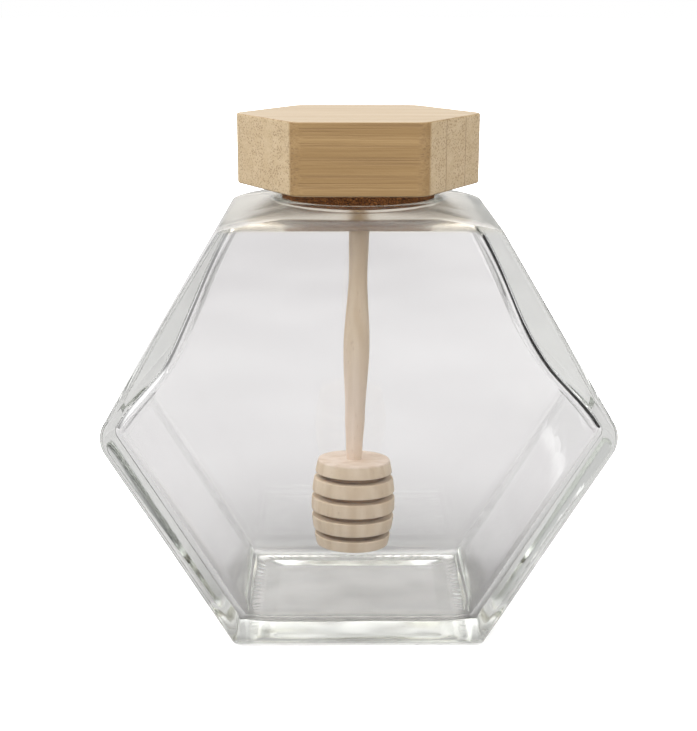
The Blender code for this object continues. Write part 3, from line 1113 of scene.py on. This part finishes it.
    def cavity_rings(self) -> list[list[Vector]]:
        """Lay out the cavity, from the bore's foot to the floor.

        Returns:
            Rings from the top to the bottom.
        """
        half_depth = self.depth / 2 - self.panel_wall
        steps = self.arc_steps
        bore_foot = (self.bore_radius + self.bore_flare, self.bore_foot_z)
        corner_z = self.cavity_corner_z()
        side_corner = (self.cavity_x(corner_z), corner_z)
        side_ceiling = (self.cavity_x(self.ceiling_side_z), self.ceiling_side_z)
        side_floor_corner = (self.cavity_x(self.floor_z), self.floor_z)
        side_top = fillet(bore_foot, side_ceiling, side_corner, self.ceiling_radius_side, steps)
        front_top = fillet(bore_foot, (half_depth, self.ceiling_front_z),
                           (half_depth, self.corner_z), self.ceiling_radius_front, steps)
        corner_arc = fillet(side_ceiling, side_corner, side_floor_corner, self.cavity_corner,
                            steps)
        side_floor = fillet(side_corner, side_floor_corner, (0, self.floor_z),
                            self.floor_radius_side, steps)
        front_floor = fillet((half_depth, self.corner_z), (half_depth, self.floor_z),
                             (0, self.floor_z), self.floor_radius_front, steps)
        edge = self.cavity_edge
        rings = []
        for number in range(1, self.shoulder_steps):
            share = 1 - number / self.shoulder_steps
            rings.append(self.cavity_ring(side_top[0], front_top[0], self.eased(edge, 0), share,
                                          bore_foot))
        for number, (side, front) in enumerate(zip(side_top, front_top)):
            rings.append(self.cavity_ring(side, front, self.eased(edge, number)))
        top, foot = corner_arc[0][1], corner_arc[-1][1]
        stations = self.inner_facet((side_top[-1][1], top), (front_top[-1][1], top), self.bow)
        stations += [(point, point[1]) for point in corner_arc]
        stations += self.inner_facet((foot, side_floor[0][1]), (foot, front_floor[0][1]))
        rings += [self.cavity_ring(side, (half_depth, z), edge) for side, z in stations]
        for number, (side, front) in enumerate(zip(side_floor, front_floor)):
            growth = self.floor_corner * number / steps
            rings.append(self.cavity_ring(side, front, edge, growth=growth))
        for share in self.floor_shares:
            rings.append(self.cavity_ring((side_floor[-1][0] * share, self.floor_z),
                                          (front_floor[-1][0] * share, self.floor_z), edge,
                                          growth=self.floor_corner * share))
        return rings

    def inner_facet(self, sides: tuple[float, float], panels: tuple[float, float],
                    bow: Optional[Bow] = None) -> list[tuple[Point2, float]]:
        """Return stations down one inner facet.

        Args:
            sides: Heights where the facet starts and ends.
            panels: The same for the front and back panel.
            bow: How the facet bulges in, if it does.

        Returns:
            The facet's (half width, height) and the panel's height, without the ends.
        """
        stations = []
        for share in stations_between(0.0, 1.0, self.facet_steps):
            height = sides[0] + (sides[1] - sides[0]) * share
            panel_z = panels[0] + (panels[1] - panels[0]) * share
            inward = bow.at(height) if bow else 0.0
            stations.append(((self.cavity_x(height) - inward, height), panel_z))
        return stations

    def build(self) -> bpy.types.Object:
        """Build and dress the glass.

        Returns:
            The glass's piece.
        """
        rings = self.underside() + self.outer_rings() + self.mouth_rings() + self.cavity_rings()
        data = loft("glass_body", rings, Vector((0, 0, self.push_up)),
                    Vector((0, 0, self.floor_z)))
        return publish("glass_body", data, self.finish.material(), "glass_jar")


@dataclass
class CorkStopper:
    """The cork between the jar and the lid."""

    radius: float = 0.018
    foot_radius: float = 0.0176
    bottom_z: float = 0.1010
    top_z: float = 0.1070
    shoulder_z: float = 0.1039
    edge: float = 0.0004
    edge_middle: float = 0.3            # how far in the round edge's middle point lies, as a share
    hole_radius: float = 0.00302
    hole_top_z: float = 0.1057
    steps: int = 96
    finish: PressedCork = field(default_factory=PressedCork)

    def build(self) -> bpy.types.Object:
        """Build and dress the stopper.

        Returns:
            The stopper's piece.
        """
        cut = self.edge * self.edge_middle
        profile = [
            (0, self.top_z),
            (self.radius - self.edge, self.top_z),
            (self.radius - cut, self.top_z - cut),
            (self.radius, self.top_z - self.edge),
            (self.radius, self.shoulder_z),
            (self.foot_radius, self.bottom_z + self.edge),
            (self.foot_radius - cut, self.bottom_z + cut),
            (self.foot_radius - self.edge, self.bottom_z),
            (self.hole_radius, self.bottom_z),
            (self.hole_radius, self.hole_top_z),
            (0, self.hole_top_z),
        ]
        data = turned("cork_plug", profile, self.steps)
        data.set_sharp_from_angle(angle=CRISP_ANGLE)
        return publish("cork_plug", data, self.finish.material(), "cork_stopper")


@dataclass
class BambooLid:
    """The hexagonal bamboo block over the stopper."""

    corner_radius: float = 0.0291       # sharp corner of the hexagon, from the middle
    bottom_z: float = 0.1073
    height: float = 0.0163
    edge_radius: float = 0.0043
    softening: float = 0.0004           # rounding of the upper and lower rims
    softening_steps: int = 3
    edge_steps: int = 10
    side_steps: int = 6
    finish: LaminatedBamboo = field(default_factory=LaminatedBamboo)

    def outline(self, inset: float) -> list[Point2]:
        """Lay out the rounded hexagon.

        Args:
            inset: How far it is drawn in.

        Returns:
            Its points, anticlockwise.
        """
        reach = self.corner_radius - inset / math.cos(math.radians(30))
        corners = []
        for number in range(6):
            angle = math.radians(60 * number)
            corners.append((reach * math.cos(angle), reach * math.sin(angle)))
        points = []
        for number, corner in enumerate(corners):
            points += fillet(corners[number - 1], corner, corners[(number + 1) % 6],
                             self.edge_radius - inset, self.edge_steps)
        return points

    def build(self) -> bpy.types.Object:
        """Build and dress the lid.

        Returns:
            The lid's piece.
        """
        soft, low, high = self.softening, self.bottom_z, self.bottom_z + self.height
        turns = quarter_turns(self.softening_steps)
        levels = [(soft * (1 - math.sin(turn)), low + soft * (1 - math.cos(turn)))
                  for turn in turns]
        levels += [(0.0, z) for z in stations_between(low + soft, high - soft, self.side_steps)]
        levels += [(soft * (1 - math.cos(turn)), high - soft * (1 - math.sin(turn)))
                   for turn in turns]
        rings = [[Vector((x, y, z)) for x, y in self.outline(inset)] for inset, z in levels]
        data = loft("lid_block", rings, Vector((0, 0, self.bottom_z)),
                    Vector((0, 0, self.bottom_z + self.height)))
        return publish("lid_block", data, self.finish.material(), "bamboo_lid")


@dataclass
class HoneyDipper:
    """The turned dipper that leans forward from its hole in the stopper."""

    top_z: float = 0.1052
    top_x: float = 0.0004
    side_lean: float = math.radians(1.2)
    forward_lean: float = math.radians(5.0)
    top_radius: float = 0.00235
    beads: tuple[Point2, ...] = (
        (0.0951, 0.00238),
        (0.0864, 0.00222),
        (0.0677, 0.00314),
        (0.0512, 0.00242),
        (0.0427, 0.00200),
    )
    bead_rows: int = 10
    foot_radius: float = 0.0018
    head_top_z: float = 0.0405
    head_bottom_z: float = 0.0192
    head_end_radius: float = 0.00875
    head_middle_radius: float = 0.0102
    groove_count: int = 4
    first_groove_z: float = 0.0367
    groove_pitch: float = 0.0047
    groove_height: float = 0.0013
    groove_depth: float = 0.0030
    ridge_rounding: float = 0.0003
    ridge_rows: int = 4
    steps: int = 72
    finish: TurnedBeech = field(default_factory=TurnedBeech)

    def stem(self) -> list[Point2]:
        """Lay out the waved stem.

        Returns:
            (radius, height) points, top to bottom.
        """
        stations = [(self.top_z, self.top_radius), *self.beads,
                    (self.head_top_z, self.foot_radius)]
        points = [(0.0, self.top_z)]
        for (high, wide), (low, narrow) in zip(stations, stations[1:]):
            for number in range(self.bead_rows):
                share = number / self.bead_rows
                blend = (1 - math.cos(math.pi * share)) / 2
                points.append((wide + (narrow - wide) * blend, high + (low - high) * share))
        points.append((self.foot_radius, self.head_top_z))
        return points

    def head_radius(self, height: float) -> float:
        """Return the radius of the head's barrel shape.

        Args:
            height: The height to read it at.

        Returns:
            The radius.
        """
        share = (self.head_top_z - height) / (self.head_top_z - self.head_bottom_z)
        swell = self.head_middle_radius - self.head_end_radius
        return self.head_end_radius + swell * math.sin(math.pi * share)

    def ridge(self, top: float, bottom: float) -> list[Point2]:
        """Lay out one rounded ridge of the head.

        Args:
            top: Height of its upper edge.
            bottom: Height of its lower edge.

        Returns:
            (radius, height) points, top to bottom.
        """
        soft = self.ridge_rounding
        turns = quarter_turns(self.ridge_rows)
        rows = [(soft * (1 - math.sin(turn)), top - soft * (1 - math.cos(turn)))
                for turn in turns]
        rows.append((0.0, (top + bottom) / 2))
        rows += [(soft * (1 - math.cos(turn)), bottom + soft * (1 - math.sin(turn)))
                 for turn in turns]
        return [(self.head_radius(height) - inset, height) for inset, height in rows]

    def head(self) -> list[Point2]:
        """Lay out the grooved head.

        Returns:
            (radius, height) points, top to bottom.
        """
        tops = [self.head_top_z]
        bottoms = []
        for number in range(self.groove_count):
            middle = self.first_groove_z - number * self.groove_pitch
            bottoms.append(middle + self.groove_height / 2)
            tops.append(middle - self.groove_height / 2)
        bottoms.append(self.head_bottom_z)
        points = []
        for number, (top, bottom) in enumerate(zip(tops, bottoms)):
            if number > 0:
                points.append((self.head_radius(top) - self.groove_depth, top))
            points += self.ridge(top, bottom)
            if number < self.groove_count:
                points.append((self.head_radius(bottom) - self.groove_depth, bottom))
        return [*points, (0.0, self.head_bottom_z)]

    def build(self) -> bpy.types.Object:
        """Build and dress the dipper.

        Returns:
            The dipper's piece.
        """
        profile = [(radius, height - self.top_z) for radius, height in self.stem() + self.head()]
        data = turned("dipper_turning", profile, self.steps)
        place = Matrix.Translation((self.top_x, 0, self.top_z))
        turn = Matrix.Rotation(self.side_lean, 4, "Y") @ Matrix.Rotation(-self.forward_lean, 4, "X")
        data.transform(place @ turn)
        data.set_sharp_from_angle(angle=CRISP_ANGLE)
        head = (self.top_z - self.head_top_z + self.ridge_rounding * 2,
                self.top_z - self.head_bottom_z - self.ridge_rounding * 2)
        material = self.finish.material(place.translation, turn.col[2].to_3d(), head,
                                        self.head_middle_radius - self.groove_depth)
        return publish("dipper_turning", data, material, "honey_dipper")


# --- Studio ---


@dataclass(frozen=True)
class Glow:
    """A soft patch of light or shade on the studio's walls, seen from the jar."""

    direction: Triple
    inner: float                        # degrees from its middle to where it starts to fade
    outer: float                        # degrees from its middle to its end
    strength: float


@dataclass(frozen=True)
class Screen:
    """An upright soft-edged screen round part of the horizon, lighter or darker than the wall."""

    azimuth: float                      # degrees, 0 at +X and 90 at +Y
    inner: float                        # degrees to either side of it before it starts to fade
    outer: float                        # degrees to either side of it to its end
    low: float                          # degrees of elevation
    high: float
    fade: float                         # degrees over which its lower and upper edges fade
    strength: float


@dataclass
class Studio:
    """A pale table top in an even white studio."""

    picture: tuple[int, int] = (697, 731)
    focal_pixels: float = 1340.0
    sensor: float = 36.0
    clip: Point2 = (0.01, 100.0)
    eye: Triple = (-0.005010, -0.317303, 0.148669)
    pitch: float = math.radians(15.210)
    roll: float = math.radians(0.077)
    yaw: float = math.radians(0.498)
    table_radius: float = 12.0
    table_gap: float = 0.0003
    table_steps: int = 96
    wall: float = 0.75
    glows: tuple[Glow, ...] = (
        Glow((0.0, 0.0, 1.0), 32.0, 78.0, 2.3),
        Glow((-0.6, -0.5, 0.65), 12.0, 45.0, 0.9),
        Glow((0.0, -1.0, 0.1), 20.0, 60.0, -0.3),
        Glow((0.90, 0.25, 0.55), 26.0, 36.0, -2.2),
        Glow((0.80, -0.60, 0.10), 15.0, 50.0, 1.25),
    )
    screens: tuple[Screen, ...] = (
        Screen(12.0, 30.0, 52.0, -8.0, 22.0, 12.0, -0.65),
        Screen(165.0, 20.0, 40.0, -4.0, 12.0, 8.0, -0.45),
    )
    glossy_bounces: int = 24
    clear_bounces: int = 32
    finish: StudioPaper = field(default_factory=StudioPaper)

    def build_table(self) -> bpy.types.Object:
        """Build the round table top that the jar stands on.

        Returns:
            The table top.
        """
        mesh = bmesh.new()
        bmesh.ops.create_circle(mesh, cap_ends=True, segments=self.table_steps,
                                radius=self.table_radius)
        data = bpy.data.meshes.new("table_top")
        mesh.to_mesh(data)
        mesh.free()
        data.materials.append(self.finish.material())
        table = bpy.data.objects.new("table_top", data)
        table.location.z = -self.table_gap
        bpy.context.scene.collection.objects.link(table)
        return table

    def light(self) -> None:
        """Light the jar from the studio's walls alone."""
        world = bpy.data.worlds.new("studio")
        world.use_nodes = True
        bpy.context.scene.world = world
        graph = Graph(world.node_tree)
        towards = graph.add("ShaderNodeTexCoord", output="Generated")
        light: Term = self.wall
        for glow in self.glows:
            middle = Vector(glow.direction).normalized()
            inner = math.cos(math.radians(glow.inner))
            outer = math.cos(math.radians(glow.outer))
            light = towards.along(middle).step(outer, inner) * glow.strength + light
        height = towards.axis("Z")
        for screen in self.screens:
            turn = math.radians(screen.azimuth)
            inner, outer, low, high, fade = (math.radians(angle) for angle in (
                screen.inner, screen.outer, screen.low, screen.high, screen.fade))
            mask = towards.along((math.cos(turn), math.sin(turn), 0.0)).step(
                math.cos(outer), math.cos(inner))
            mask = mask * height.step(math.sin(low - fade), math.sin(low))
            mask = mask * height.step(math.sin(high + fade), math.sin(high))
            light = mask * screen.strength + light
        direct = graph.add("ShaderNodeLightPath", output="Is Camera Ray")
        light = (light.at_least(0.0)).at_least(direct)
        paper = graph.add("ShaderNodeBackground", {}, {"Color": (1.0, 1.0, 1.0),
                                                       "Strength": light})
        graph.add("ShaderNodeOutputWorld", {}, {"Surface": paper})
        settings = bpy.context.scene.view_settings
        settings.view_transform = "Standard"
        settings.look = "None"
        settings.exposure = 0.0
        settings.gamma = 1.0
        paths = bpy.context.scene.cycles
        paths.glossy_bounces = self.glossy_bounces
        paths.transmission_bounces = self.clear_bounces
        paths.max_bounces = self.clear_bounces

    def aim(self) -> bpy.types.Object:
        """Set up the camera.

        Returns:
            The camera.
        """
        data = bpy.data.cameras.new("camera")
        data.sensor_width = self.sensor
        data.lens = self.focal_pixels * data.sensor_width / max(self.picture)
        data.clip_start, data.clip_end = self.clip
        camera = bpy.data.objects.new("camera", data)
        bpy.context.scene.collection.objects.link(camera)
        forward = Vector((math.sin(self.yaw) * math.cos(self.pitch),
                          math.cos(self.yaw) * math.cos(self.pitch), -math.sin(self.pitch)))
        right = Vector((math.cos(self.yaw), -math.sin(self.yaw), 0.0))
        above = right.cross(forward)
        level = right * math.cos(self.roll) + above * math.sin(self.roll)
        upright = above * math.cos(self.roll) - right * math.sin(self.roll)
        turn = Matrix((level, upright, -forward)).transposed().to_4x4()
        camera.matrix_world = Matrix.Translation(self.eye) @ turn
        bpy.context.scene.camera = camera
        return camera

    def build(self) -> None:
        """Build the table, the light and the camera."""
        self.build_table()
        self.light()
        self.aim()


# --- Running ---


def main() -> None:
    """Build the studio and every piece of the jar."""
    logging.basicConfig(level=logging.INFO, format="%(name)s %(message)s")
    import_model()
    Studio().build()
    for part in (GlassBody(), CorkStopper(), BambooLid(), HoneyDipper()):
        piece = part.build()
        LOG.info("%s: %d faces", piece.name, len(piece.data.polygons))
    bpy.context.view_layer.update()


if __name__ == "__main__":
    main()
